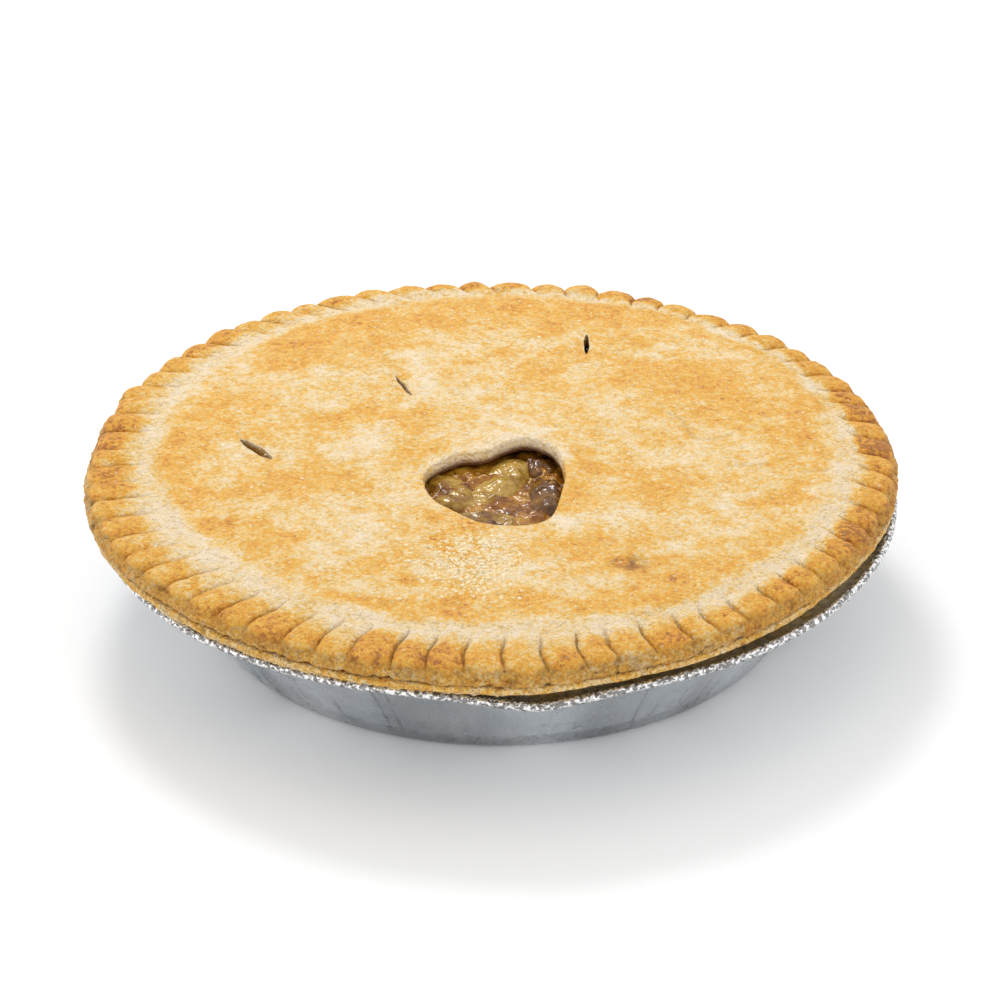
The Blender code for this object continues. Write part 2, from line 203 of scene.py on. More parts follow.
def surface(name, points, fields=None, loop=False, flip=False):
    """A mesh from a grid of points in millimetres: rows by columns, closed round the columns.

    With loop, the last row joins the first. Otherwise each end closes to a pole in its middle.
    fields are values from 0 to 1 for the points, kept as attributes. flip turns the faces over.
    """
    rows, columns = points.shape[:2]
    corners = points.reshape(-1, 3)
    index = np.arange(rows * columns).reshape(rows, columns)
    right = np.roll(index, -1, axis=1)
    last = rows if loop else rows - 1
    up = np.roll(index, -1, axis=0)[:last]
    up_right = np.roll(right, -1, axis=0)[:last]
    quads = np.stack([index[:last], right[:last], up_right, up], axis=-1).reshape(-1, 4)
    fans = []
    if not loop:
        poles = [corners[index[row]].mean(axis=0) for row in (0, -1)]
        for number, row, turn in ((0, 0, -1), (1, -1, 1)):
            tip = np.full(columns, len(corners) + number)
            fans.append(np.stack([index[row], right[row], tip], axis=-1)[:, ::turn])
        corners = np.vstack([corners, poles])
    if flip:
        quads = quads[:, ::-1]
        fans = [fan[:, ::-1] for fan in fans]
    loops = np.concatenate([quads.ravel()] + [fan.ravel() for fan in fans])
    sizes = np.concatenate([np.full(len(quads), 4)] + [np.full(len(fan), 3) for fan in fans])
    mesh = bpy.data.meshes.new(name)
    mesh.vertices.add(len(corners))
    mesh.vertices.foreach_set("co", (corners * MM).astype(np.float32).ravel())
    mesh.loops.add(len(loops))
    mesh.loops.foreach_set("vertex_index", loops.astype(np.int32))
    mesh.polygons.add(len(sizes))
    starts = np.concatenate([[0], np.cumsum(sizes)[:-1]])
    mesh.polygons.foreach_set("loop_start", starts.astype(np.int32))
    mesh.update(calc_edges=True)
    mesh.validate()
    for field, values in (fields or {}).items():
        flat = np.clip(np.broadcast_to(values, (rows, columns)), 0.0, 1.0).ravel()
        flat = np.concatenate([flat, np.full(len(corners) - len(flat), flat[-1])])
        layer = mesh.attributes.new(field, "FLOAT", "POINT")
        layer.data.foreach_set("value", flat.astype(np.float32))
    mesh.shade_smooth()
    return add_object(name, mesh)


# Shape of the pastry

def corner(angle):
    """1 at the blunt corner that the tin's rim was bent into, falling to 0 around it."""
    away = (angle - CORNER_ANGLE + math.pi) % TAU - math.pi
    return 0.55 * np.exp(-(away / CORNER_WIDTH) ** 2) + 0.45 * np.exp(-np.abs(away) / 0.10)


def flange_warp(x, y, z):
    """The handled tin: its flange is a little higher on the right, spread on the left, opened at
    the front right, and bent out at one corner."""
    radius = np.hypot(x, y)
    amount = ramp(radius, 103.0, 115.0) * ramp(z, 26.0, 34.0)
    bend = corner(np.arctan2(y, x)) * ramp(radius, 111.0, 121.4)
    spread = 2.4 * ramp(-x, 10.0, 100.0) * ramp(radius, 111.0, 119.0)
    opened = 1.8 * angle_band(np.arctan2(y, x), -44.0, 40.0) * ramp(radius, 111.0, 119.0)
    stretch = 1.0 + (3.8 * bend + opened) / np.maximum(radius, 1.0)
    return x * stretch - spread, y * stretch, z + 0.010 * x * amount - 1.5 * bend


def rim_shift(x, y, z):
    """The pastry rim sits a little left and in front of the tin's middle, and bulges over the
    tin's bent corner."""
    radius = np.hypot(x, y)
    share = ramp(radius, 107.0, 117.0)
    bulge = corner(np.arctan2(y, x)) * share
    stretch = 1.0 + 2.2 * bulge / np.maximum(radius, 1.0)
    drop = 0.7 * bulge * ramp(43.8 - z, 1.0, 5.0)
    return x * stretch + RIM_SHIFT_X * share, y * stretch + RIM_SHIFT_Y * share, z - drop


outline = closed_curve(CUTOUT_OUTLINE, 720)
outline_from_middle = outline - np.array(CUTOUT_MIDDLE)
outline_angle = np.arctan2(outline_from_middle[:, 1], outline_from_middle[:, 0])
outline_order = np.argsort(outline_angle)
outline_angle = outline_angle[outline_order]
outline_reach = np.hypot(outline_from_middle[:, 0], outline_from_middle[:, 1])[outline_order]


def cutout_reach(angle):
    """Distance from the cut-out's middle to its edge, at an angle about that middle."""
    return np.interp(angle, outline_angle, outline_reach, period=TAU)


def from_cutout(x, y):
    """How far a point lies outside the cut-out's edge, along the line from its middle."""
    dx, dy = x - CUTOUT_MIDDLE[0], y - CUTOUT_MIDDLE[1]
    return np.hypot(dx, dy) - cutout_reach(np.arctan2(dy, dx))


def from_line(x, y, start, end):
    """Distance from a straight line between two points."""
    ax, ay = start
    dx, dy = end[0] - ax, end[1] - ay
    share = np.clip(((x - ax) * dx + (y - ay) * dy) / (dx * dx + dy * dy), 0.0, 1.0)
    return np.hypot(x - ax - share * dx, y - ay - share * dy)


def from_crack(x, y):
    """Distance from the nearest hairline in the lid."""
    lines = list(zip(CRACK[:-1], CRACK[1:])) + SCORES
    return np.min([from_line(x, y, a, b) for a, b in lines], axis=0)


def pastry_relief(x, y):
    """Fine unevenness shared by the lid and the rim's inner part, stronger towards the rim, where
    the dough was pinched into small folds."""
    folds = ramp(np.hypot(x, y), 92.0, 104.0)
    broad = 0.30 * cloud(x, y, 0 * x, 16.0, 2, 3)
    return broad + (0.14 + 0.14 * folds) * cloud(x, y, 0 * x, 5.0, 3, 9)


def lid_height(x, y):
    """Height of the lid's top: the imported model's low dome and broad waves, a puffed lip round the
    cut-out, hollows at the vents, and finer layers of noise."""
    radius = np.hypot(x, y)
    base = np.interp(radius, DOME_RADII, DOME_HEIGHTS)
    fall = np.sqrt(np.clip(1.0 - (radius / LID_EDGE) ** 2, 0.0, 1.0))
    waves = 0.5 * np.sin(0.055 * x + 1.1) * np.cos(0.048 * y) + 0.3 * np.sin(0.11 * x - 0.07 * y)
    away = from_cutout(x, y)
    back = ramp(y, -22.0, -2.0)
    lip = np.exp(-((away - 4.0) / 3.6) ** 2) * (0.1 + 0.35 * back)
    height = base + fall * waves + lip + 0.5 * spot(x, y, PUFF_MIDDLE, 8.0, 4.5)
    flakes = 0.45 * np.abs(cloud(x, y, 0 * x, 3.2, 2, 23)) * spot(x, y, FLAKY_MIDDLE, 16.0, 14.0)
    height = height + pastry_relief(x, y) + flakes
    for vx, vy, length, width, direction in VENTS:
        reach = (math.cos(direction) * length / 2, math.sin(direction) * length / 2)
        gap = from_line(x, y, (vx - reach[0], vy - reach[1]), (vx + reach[0], vy + reach[1]))
        height = height - 0.9 * np.exp(-(gap / (width * 1.1)) ** 2)
    height = height - 0.25 * np.exp(-(from_crack(x, y) / 0.8) ** 2)
    pit = spot(x, y, PIT_MIDDLE, 5.0, 4.6)
    return height - 0.9 * pit + 0.5 * pit * noise(x, y, 0 * x, 1.8, 41)


def lid_bake(x, y):
    """Oven colour of the lid from 0, cream, to 1, brown: clouds of colour, placed patches, a pale
    ring with a wavy inner edge, and a paler lip at the back of the cut-out."""
    flat = 0 * x
    wx = x + 3.0 * cloud(x, y, flat, 11.0, 3, 63)
    wy = y + 3.0 * cloud(x, y, flat, 11.0, 3, 67)
    bake = 0.43 + 0.15 * cloud(wx, wy * 1.15, flat, 26.0, 3, 51)
    bake = bake + 0.17 * cloud(wx, wy * 1.3, flat, 8.0, 4, 61)
    for patches, strength in ((BROWNED, 1.1), (PALED, -1.1)):
        for px, py, wide, deep, much in patches:
            bake = bake + strength * much * spot(wx, wy, (px, py), wide, deep)
    radius = np.hypot(x, y)
    angle = np.arctan2(y, x)
    back = angle_band(angle, 85.0, 38.0) + 0.4 * angle_band(angle, 20.0, 25.0)
    front = angle_band(angle, -82.0, 42.0)
    edge = radius + 3.0 * cloud(x, y, flat, 14.0, 4, 71) - 5.0 * back - 2.2 * front
    bake = bake + 0.08 * np.exp(-((edge - 95.0) / 7.0) ** 2)
    bake = np.where(bake > 0.58, 0.58 + 0.4 * (bake - 0.58), bake)
    ring = ramp(edge, 99.5, 106.0)
    bake = bake * (1.0 - ring) + (0.17 + 0.12 * cloud(x, y, flat, 8.0, 3, 81)) * ring
    lip = np.exp(-(np.maximum(from_cutout(x, y), 0.0) / 4.0) ** 2) * ramp(y, -16.0, -4.0)
    return np.clip(bake * (1.0 - 0.8 * lip), 0.0, 1.0)


crimp_draw = np.random.default_rng(11)
GROOVE_JITTER = crimp_draw.uniform(-0.09, 0.09, CRIMPS)
CRIMP_LIFT = crimp_draw.uniform(-0.5, 0.5, CRIMPS)
CRIMP_REACH = crimp_draw.uniform(-0.8, 0.6, CRIMPS)
CRIMP_BAKE = crimp_draw.uniform(-0.12, 0.12, CRIMPS)
CRIMP_REACH[45] = 2.4


def rim_wobble(angle):
    """How far the pastry's outer edge strays from its circle: fuller at the left and in front, and
    drawn in at the front right and in places at the back."""
    fuller = 0.5 * angle_band(angle, 262.0, 55.0) + 1.1 * angle_band(angle, 192.0, 34.0)
    fuller = fuller + 0.9 * angle_band(angle, 14.0, 22.0)
    drawn = 2.1 * angle_band(angle, 152.0, 30.0) + 2.1 * angle_band(angle, 98.0, 16.0)
    drawn = drawn + 1.9 * angle_band(angle, 56.0, 14.0) + 1.3 * angle_band(angle, 320.0, 26.0)
    return fuller - drawn + 0.5 * np.sin(angle * 3.0 + 0.4) + 0.35 * np.sin(angle * 7.0 + 2.0)


def rim_columns():
    """Directions of the rim's columns, closest together at the grooves, the crimp that each one
    belongs to, and how far through the crimp it lies, from 0 to 1."""
    share = np.arange(RIM_STEPS) / RIM_STEPS
    place = share - 0.62 * np.sin(TAU * share) / TAU
    number = np.repeat(np.arange(CRIMPS), RIM_STEPS)
    along = np.tile(place, CRIMPS)
    start = number + GROOVE_JITTER[number]
    end = number + 1.0 + GROOVE_JITTER[(number + 1) % CRIMPS]
    return FIRST_GROOVE + (start + along * (end - start)) / CRIMPS * TAU, number, along


RIM_PROFILE = [
    (103.5, 51.9), (105.8, 51.25), (108.2, 50.65), (111.4, 50.5), (115.0, 50.55), (118.6, 50.05),
    (121.5, 48.85), (123.5, 47.3), (124.6, 45.6), (124.1, 44.5), (123.2, SEAM_HEIGHT + 0.1),
]
RIM_UNDERSIDE = [
    (119.0, 44.1), (112.0, 44.1), (107.4, 44.2), (104.6, 46.6), (103.8, 48.6), (103.55, 50.2),
]


def front_share(angle):
    """How strongly the crimps are marked: 1 in front, and less than half of that at the back."""
    return 0.3 + 0.7 * angle_band(angle, -90.0, 85.0)


def front_left(angle):
    """1 along the front left, where the rim hangs over the case below it, and 0 elsewhere."""
    return ramp(angle_band(angle, -128.0, 24.0), 0.1, 0.8)


def pits_mask(x, y, z):
    """Where the side of the pastry is torn into small pits, from 0 to 1."""
    return ramp(noise(x, y, z, 2.1, 37), 0.35, 0.75)


def cap_edge(near):
    """Height at which a crimp's golden cap ends over the porous side: lowest in the cap's middle."""
    return 48.2 + 1.3 * np.clip(1.0 - 2.4 * near, 0.0, 1.0) ** 1.5


def rim_points():
    """The crimped rim: a profile carried round the pie, pushed out by rounded scallops that narrow
    leaning grooves part, with a porous side and a crumbly crest. The loop closes under the lid."""
    shown = along_profile(RIM_PROFILE, 66)
    shown = np.vstack([shown[:1], shown[:1] * 0.96 + shown[1:2] * 0.04, shown[1:]])
    profile = np.vstack([shown, np.array(RIM_UNDERSIDE)])
    radius = profile[:, 0][:, None]
    height = profile[:, 1][:, None]
    column, number, along = rim_columns()
    lean = 0.22 * np.sin(column * 2.0 + 0.7)[None, :] * (radius - 114.0) / 10.0
    angle = column[None, :] - lean / CRIMPS * TAU
    number, along = number[None, :], along[None, :]
    top = np.zeros(len(profile))
    top[:len(shown)] = 1.0
    top = top[:, None]
    slope = np.gradient(shown, axis=0)
    normal = np.zeros_like(profile)
    normal[:len(shown)] = np.stack([-slope[:, 1], slope[:, 0]], axis=1)
    normal[:len(shown)] /= np.linalg.norm(normal[:len(shown)], axis=1)[:, None]
    scallop = np.sin(math.pi * along ** 0.88) ** 0.55
    near = np.minimum(along, 1.0 - along)
    crest = ramp(radius, 106.5, 112.0) * (1.0 - 0.85 * ramp(49.4 - height, 0.0, 2.4)) * top
    front = front_share(angle)
    incised = np.exp(-(near / 0.05) ** 2) * (1.0 - ramp(50.2 - height, 0.0, 1.2)) * front
    incised = incised * ramp(radius, 113.0 - 6.0 * front, 116.0 - 6.0 * front)
    out = crest * (2.0 * scallop - 1.25) - 0.45 * incised * top
    shoulder = ramp(radius, 116.5, 121.5) * ramp(height - cap_edge(near), -0.6, 0.8) * top
    out = out + 1.1 * front * shoulder * (scallop - 0.35)
    below_cap = ramp(cap_edge(near) - height, 0.0, 1.0) * ramp(height - SEAM_HEIGHT, 0.2, 1.0)
    out = out - 0.5 * below_cap * top
    out = out + crest * CRIMP_LIFT[number] * (1.0 - 0.4 * ramp(radius, 116.0, 122.0))
    reach = CRIMP_REACH[number] * np.sin(math.pi * along) * ramp(radius, 115.0, 123.0) * top
    x = radius * np.cos(angle)
    y = radius * np.sin(angle)
    z = height + 0 * angle
    rough = 0.30 * cloud(x, y, z, 6.0, 2, 5) + 0.20 * cloud(x, y, z, 2.4, 2, 15)
    side = ramp(49.2 - height, 0.0, 2.2) * top
    rough = rough + side * (0.26 * noise(x, y, z, 1.3, 33) - 0.65 * pits_mask(x, y, z))
    out = out + rough * ramp(radius, 103.6, 107.0) * top
    outward = radius + normal[:, :1] * out + 0.8 * reach
    relief = pastry_relief(x, y) * ramp(113.0 - radius, 0.0, 6.0) * top
    lifted = height + normal[:, 1:] * out + relief
    outward = outward + rim_wobble(angle) * ramp(radius, 112.0, 123.0)
    hang = 0.7 * front_left(angle) + 0.35 * noise(x, y, 0 * z, 3.0, 45) - 0.25
    lifted = lifted + top * ramp(45.2 - height, 0.0, 1.1) * hang
    place = rim_shift(outward * np.cos(angle), outward * np.sin(angle), lifted)
    return np.stack(place, axis=-1), (x, y, z), radius, height, angle, number, near, top


def build_rim():
    """The crimped rim with its oven colour: golden caps, painted shade in the grooves and a porous
    paler side.
    """
    points, (x, y, z), radius, height, angle, number, near, top = rim_points()
    flat = 0 * z
    patchy = 0.12 * cloud(x, y, z, 9.0, 3, 91) + 0.09 * cloud(x, y, z, 2.6, 2, 97)
    middle = np.exp(-((near - 0.5) / 0.42) ** 2)
    edge = radius + 1.3 * cloud(x, y, flat, 6.0, 3, 103) + 6.0 * CRIMP_BAKE[number] + 1.6 * middle
    shoulder = ramp(edge, 109.5, 117.5)
    gold = 0.67 + patchy + CRIMP_BAKE[number]
    right = angle_band(angle, 0.0, 36.0)
    gold = gold + 0.02 * angle_band(angle, 185.0, 38.0) + 0.20 * right
    bake = lid_bake(x, y) * (1.0 - shoulder) + gold * shoulder
    side = ramp(cap_edge(near) + 0.3 - height, 0.0, 1.2)
    bake = bake * (1.0 - side) + np.maximum(0.58 + 0.9 * patchy + 0.16 * right, 0.48) * side
    front = front_share(angle)
    # Painted shade in the crimp grooves, strongest in front.
    dark = 0.45 * np.exp(-(near / 0.045) ** 2) * (1.0 - ramp(50.2 - height, 0.0, 1.4)) * front
    dark = dark * ramp(radius, 113.0 - 5.0 * front, 117.0 - 4.0 * front)
    # Painted shadow under the golden caps' lower edge and painted shade in the side's pits, over a
    # darker tone on the whole side.
    under_cap = np.exp(-((height - cap_edge(near) + 0.5) / 0.5) ** 2) * ramp(radius, 120.0, 122.0)
    dark = dark + ((0.24 + 0.3 * pits_mask(x, y, z)) * side + 0.12 * under_cap * front) * top
    # Painted shade along the rim's lower edge, deepest along the front left where the rim hangs over
    # the case.
    dark = dark + (0.25 + 0.5 * front_left(angle)) * ramp(44.6 - height, 0.0, 0.7) * top
    dark = dark * (1.0 + 0.5 * noise(x, y, flat, 4.0, 99))
    porous = ramp(49.6 - height, 0.0, 2.4) * top
    fields = {"bake": bake, "dark": dark, "porous": porous}
    return surface("crimped_rim", points, fields, loop=True, flip=True)


def build_lid():
    """The lid: a grid between the cut-out's edge and the rim's inner edge, in a closed loop of top,
    outer edge, underside and the cut-out's wall."""
    angle = FIRST_GROOVE + np.arange(LID_COLUMNS) / LID_COLUMNS * TAU
    rim = np.stack([LID_EDGE * np.cos(angle), LID_EDGE * np.sin(angle)], axis=-1)
    middle = np.array(CUTOUT_MIDDLE)
    toward = rim - middle
    around = np.arctan2(toward[:, 1], toward[:, 0])
    reach = cutout_reach(around)
    inner = middle + reach[:, None] * np.stack([np.cos(around), np.sin(around)], axis=-1)
    share = np.linspace(0.0, 1.0, 138) ** 1.45
    share = np.append(share[:-1], (0.9994, 1.0))[:, None, None]
    flat = inner[None] * (1.0 - share) + rim[None] * share
    x, y = flat[..., 0], flat[..., 1]
    z = lid_height(x, y)
    away = np.maximum(from_cutout(x, y), 0.0)
    round_edge = 0.8 + 0.5 * ramp(y, -14.0, 0.0)
    dip = np.clip(1.0 - away / round_edge, 0.0, 1.0)
    z = z - round_edge * (1.0 - np.sqrt(1.0 - dip ** 2))
    bottom_edge = lid_height(inner[:, 0], inner[:, 1]) - LID_THICKNESS
    outward = toward / np.hypot(toward[:, 0], toward[:, 1])[:, None]
    wall = []
    for step in np.linspace(0.0, 1.0, WALL_ROWS + 1)[:-1]:
        ragged = noise(inner[:, 0], inner[:, 1], 4.0 * step + 0 * reach, 3.0, 7)
        bulge = 0.35 * math.sin(math.pi * step) + 0.25 * ragged
        ring = inner - bulge[:, None] * outward
        level = bottom_edge * (1.0 - step) + z[0] * step
        wall.append(np.column_stack([ring, level]))
    under_level = np.full(LID_COLUMNS, LID_EDGE_HEIGHT - LID_THICKNESS + 0.4)
    under_edge = np.column_stack([rim * 0.9995, under_level])
    half = inner * 0.5 + rim * 0.5
    under_half = np.column_stack([half, lid_height(half[:, 0], half[:, 1]) - LID_THICKNESS])
    top = np.stack([x, y, z], axis=-1)
    tuck = np.column_stack([rim * 1.002, z[-1] - 0.5])
    points = np.concatenate([np.array(wall), top, tuck[None], under_edge[None], under_half[None]])
    px, py = points[..., 0], points[..., 1]
    bake = lid_bake(px, py)
    # Painted shade along the hairline crack and scores.
    dark = 0.22 * np.exp(-(from_crack(px, py) / 0.7) ** 2)
    wall_rows = np.zeros(len(points))
    wall_rows[:WALL_ROWS] = np.clip(np.linspace(1.35, 0.0, WALL_ROWS), 0.0, 1.0) ** 1.3
    wall_rows = wall_rows[:, None]
    bake = bake * (1.0 - 0.4 * wall_rows)
    stain = spot(px, py, PIT_MIDDLE, 4.4, 4.2) * ramp(noise(px, py, 0 * px, 2.0, 43), -0.5, 0.3)
    # Painted shade down the cut-out's wall below the lip, plus the burnt pit's own stain.
    dark = dark + 0.97 * wall_rows + 0.8 * stain
    flaky = 1.3 * spot(px, py, FLAKY_MIDDLE, 17.0, 15.0) + 0.5 * noise(px, py, 0 * px, 5.0, 47)
    return surface("lid", points, {"bake": bake, "dark": dark, "flaky": flaky - 0.1}, loop=True)


def vent_tools():
    """A cutter for each vent: a pointed slit, as an upright lens-shaped prism."""
    tools = []
    for number, (x, y, length, width, direction) in enumerate(VENTS):
        turn = np.arange(VENT_STEPS) / VENT_STEPS * TAU
        along = np.cos(turn) * length / 2
        across = np.sign(np.sin(turn)) * np.abs(np.sin(turn)) ** 1.2 * width / 2
        across = across + 0.12 * np.sin(along * 0.9 + number)
        ring_x = x + along * math.cos(direction) - across * math.sin(direction)
        ring_y = y + along * math.sin(direction) + across * math.cos(direction)
        rings = [np.column_stack([ring_x, ring_y, np.full(VENT_STEPS, level)]) for level in VENT_LEVELS]
        tools.append(surface(f"vent_tool_{number}", np.array(rings)))
    return tools


def darken_vents(mesh):
    """Sets the brown, shaded values on the points of the lid that lie inside a vent."""
    count = len(mesh.vertices)
    points = np.empty(count * 3, np.float32)
    mesh.vertices.foreach_get("co", points)
    x, y, z = points.reshape(-1, 3).T.astype(float) / MM
    inside = np.zeros(count)
    for vx, vy, length, width, direction in VENTS:
        dx, dy = x - vx, y - vy
        along = (dx * math.cos(direction) + dy * math.sin(direction)) / (length / 2)
        across = (dy * math.cos(direction) - dx * math.sin(direction)) / (width / 2)
        slit = (np.abs(along) < 1.02) & (np.abs(across) < 1.3)
        inside = np.maximum(inside, slit * ramp(lid_height(x, y) - z, -0.3, 1.2))
    for field, value in (("bake", 0.85), ("dark", 0.62)):
        layer = mesh.attributes[field]
        values = np.empty(count, np.float32)
        layer.data.foreach_get("value", values)
        values = values * (1.0 - inside) + value * inside
        layer.data.foreach_set("value", values.astype(np.float32))


def cut_vents(piece):
    """Takes the vents out of the lid with a Boolean, then applies it and removes the cutters."""
    for tool in vent_tools():
        cut = piece.modifiers.new("Vent", "BOOLEAN")
        cut.operation = "DIFFERENCE"
        cut.solver = "EXACT"
        cut.object = tool
    graph = bpy.context.evaluated_depsgraph_get()
    mesh = bpy.data.meshes.new_from_object(piece.evaluated_get(graph))
    for cut in list(piece.modifiers):
        bpy.data.objects.remove(cut.object)
    piece.modifiers.clear()
    piece.data = mesh
    darken_vents(mesh)
    mesh.shade_smooth()
    mesh.set_sharp_from_angle(angle=math.radians(50.0))


CASE_INSIDE = [
    (0.6, 5.0), (40.0, 5.0), (82.4, 5.2), (85.2, 6.8), (95.0, 21.0), (103.6, 34.6), (106.6, 43.8),
]
CASE_LIP = [
    (122.6, 43.8), (123.5, 43.1), (123.6, 42.0), (123.1, 40.8), (122.3, 39.6), (121.5, 38.9),
    (119.6, 38.7),
]
CASE_OUTSIDE = [
    (116.2, 38.7), (114.0, 36.75), (110.6, 36.65), (108.6, 34.4), (98.5, 18.9), (86.7, 2.2),
    (84.8, 1.25), (40.0, 1.25), (0.6, 1.25),
]
LIP_ROWS = 26


def build_case():
    """The pastry case: its pale ragged edge shows under the rim, and it lines the tin."""
    profile = np.vstack([CASE_INSIDE, along_profile(CASE_LIP, LIP_ROWS), CASE_OUTSIDE])
    radius = profile[:, 0][:, None]
    height = profile[:, 1][:, None]
    columns = CRIMPS * 12
    angle = (FIRST_GROOVE + np.arange(columns) / columns * TAU)[None, :]
    x = radius * np.cos(angle)
    y = radius * np.sin(angle)
    z = height + 0 * angle
    shown = np.zeros(len(profile))
    shown[len(CASE_INSIDE):len(CASE_INSIDE) + LIP_ROWS] = 1.0
    shown = shown[:, None]
    ragged = noise(x, y, 0 * z, 2.2, 17) + 0.7 * noise(x, y, 0 * z, 1.1, 19)
    push = 0.35 * cloud(x, y, z, 5.0, 2, 27) + 0.22 * noise(x, y, z, 1.5, 29)
    torn = noise(x, y, z, 1.9, 31)
    push = push - 0.4 * ramp(torn, 0.4, 0.8)
    hang = ramp(41.0 - height, 0.0, 1.8) * shown
    outward = radius + shown * (push + rim_wobble(angle))
    lifted = 0.9 * angle_band(angle, -95.0, 60.0) + 2.0 * angle_band(angle, -40.0, 50.0)
    level = z + hang * (0.55 * ragged) + lifted * ramp(41.6 - height, 0.0, 2.6) * shown
    ox, oy = outward * np.cos(angle), outward * np.sin(angle)
    inner_part = (radius < 117.0) & (height < 39.5)
    places = zip(flange_warp(ox, oy, level), rim_shift(ox, oy, level))
    points = np.stack([np.where(inner_part, in_tin, at_rim) for in_tin, at_rim in places], axis=-1)
    bake = 0.47 + 0.14 * cloud(x, y, z, 8.0, 3, 107) + 0.10 * noise(x, y, z, 1.4, 109)
    bake = bake - 0.12 * ramp(41.5 - height, 0.0, 2.0)
    # Painted shade in the torn hollows of the case's edge.
    dark = 0.5 * ramp(torn, 0.45, 0.85) * shown
    # Painted shade along the case's top, just under the rim.
    dark = dark + 0.35 * ramp(height, 43.2, 43.8) * shown
    fields = {"bake": bake, "dark": dark, "porous": shown}
    return surface("pastry_case", points, fields, flip=True)


TIN_INSIDE = [
    (0.6, 0.8), (45.0, 0.8), (84.9, 0.8), (86.2, 1.15), (87.2, 2.1), (90.6, 7.0), (94.5, 12.6),
    (98.7, 18.6), (102.8, 25.0), (106.6, 30.8), (109.1, 34.2), (110.2, 35.8), (111.2, 36.2),
    (113.5, 36.3), (116.5, 36.3),
]
TIN_OUTSIDE = [
    (116.5, 35.5), (113.5, 35.5), (111.4, 35.4), (110.4, 34.8), (109.9, 34.0), (107.5, 30.2),
    (103.7, 24.3), (99.6, 18.0), (95.4, 12.0), (91.5, 6.1), (88.3, 1.3), (87.2, 0.4), (85.7, 0.0),
    (45.0, 0.0), (0.6, 0.0),
]
BEAD_MIDDLE = (120.1, 36.4)
BEAD_RADIUS = 1.3
TIN_COLUMNS = 1500
FLUTES = 150
KNURLS = 430
FOLDS = 70


def build_tin():
    """The pressed foil tin: a thin closed shell. The wall carries upright folds, the flange radial
    flutes, and the rolled bead fine knurls; waves of noise leave it lightly crumpled."""
    bead = []
    for step in range(11):
        turn = math.radians(155.0 - 29.0 * step)
        bead.append((BEAD_MIDDLE[0] + BEAD_RADIUS * math.cos(turn),
                     BEAD_MIDDLE[1] + BEAD_RADIUS * math.sin(turn)))
    profile = np.array(TIN_INSIDE + bead + TIN_OUTSIDE)
    radius = profile[:, 0][:, None]
    height = profile[:, 1][:, None]
    angle = (np.arange(TIN_COLUMNS) / TIN_COLUMNS * TAU)[None, :]
    x = radius * np.cos(angle)
    y = radius * np.sin(angle)
    z = height + 0 * angle
    wall = ramp(height, 2.0, 9.0) * ramp(36.0 - height, 0.6, 5.0)
    flute = np.sin(angle * FLUTES + 0.9 * noise(x, y, 0 * z, 12.0, 53)) * ramp(radius, 110.5, 113.0)
    flute = flute * (1.0 - ramp(radius, 117.0, 118.6))
    knurl = np.sin(angle * KNURLS + 1.6 * noise(x, y, 0 * z, 5.0, 57))
    knurl = (knurl + 0.9 * noise(x, y, z, 1.9, 59)) * ramp(radius, 118.6, 119.4)
    waves = 0.25 * noise(x, y, 0 * z, 15.0, 61) * ramp(radius, 112.0, 118.0)
    level = z + 0.16 * flute + 0.20 * knurl + waves
    outward = radius + wall * fold_depth(angle, radius) + 0.16 * knurl
    px, py, pz = flange_warp(outward * np.cos(angle), outward * np.sin(angle), level)
    points = np.stack([px, py, np.maximum(pz, 0.0)], axis=-1)
    fields = {"bead": ramp(radius, 118.4, 119.2), "wall": wall}
    return surface("tin_shell", points, fields, flip=True)


def fold_depth(angle, radius):
    """Upright folds pressed into the wall: uneven ridges, each a narrow crease beside a broad one."""
    draw = np.random.default_rng(5)
    total = 0.14 * np.sin(angle * 46.0 + 1.4 * np.sin(angle * 5.0)) + 0 * radius
    for _ in range(FOLDS):
        middle = draw.uniform(0.0, TAU)
        width = draw.uniform(0.004, 0.020)
        lean = draw.uniform(-0.0012, 0.0012)
        deep = draw.uniform(-1.1, 0.6)
        away = (angle - middle - lean * (radius - 99.0) + math.pi) % TAU - math.pi
        total = total + deep * np.exp(-(away / width) ** 2)
    return total


SYRUP_COLUMNS = 320
SYRUP_BODY = [(104.0, 46.0), (105.4, 43.6), (102.9, 34.8), (84.6, 7.3), (81.8, 5.7), (2.0, 5.6)]


def build_syrup():
    """The filling's syrup: lumpy and glossy in the cut-out, and a plain body under the lid."""
    angle = np.arange(SYRUP_COLUMNS) / SYRUP_COLUMNS * TAU
    reach = cutout_reach(angle) + 1.0
    rows = []
    for share in np.linspace(0.012, 1.0, 90):
        r = reach * share
        x = CUTOUT_MIDDLE[0] + r * np.cos(angle)
        y = CUTOUT_MIDDLE[1] + r * np.sin(angle)
        flat = 0 * x
        lumps = 1.1 * cloud(x, y, flat, 8.0, 2, 131) + 0.75 * cloud(x, y, flat, 3.2, 2, 137)
        z = SYRUP_HEIGHT + 0.5 + lumps * ramp(1.0 - share + flat, 0.0, 0.15) + 0.4 * share
        rows.append(np.column_stack([x, y, z]))
    for radius, height in SYRUP_BODY:
        shift = 1.0 if radius < 5.0 else 0.0
        x = radius * np.cos(angle) + shift * CUTOUT_MIDDLE[0]
        y = radius * np.sin(angle) + shift * CUTOUT_MIDDLE[1]
        rows.append(np.column_stack([x, y, np.full(SYRUP_COLUMNS, height)]))
    return surface("syrup", np.array(rows), flip=True)


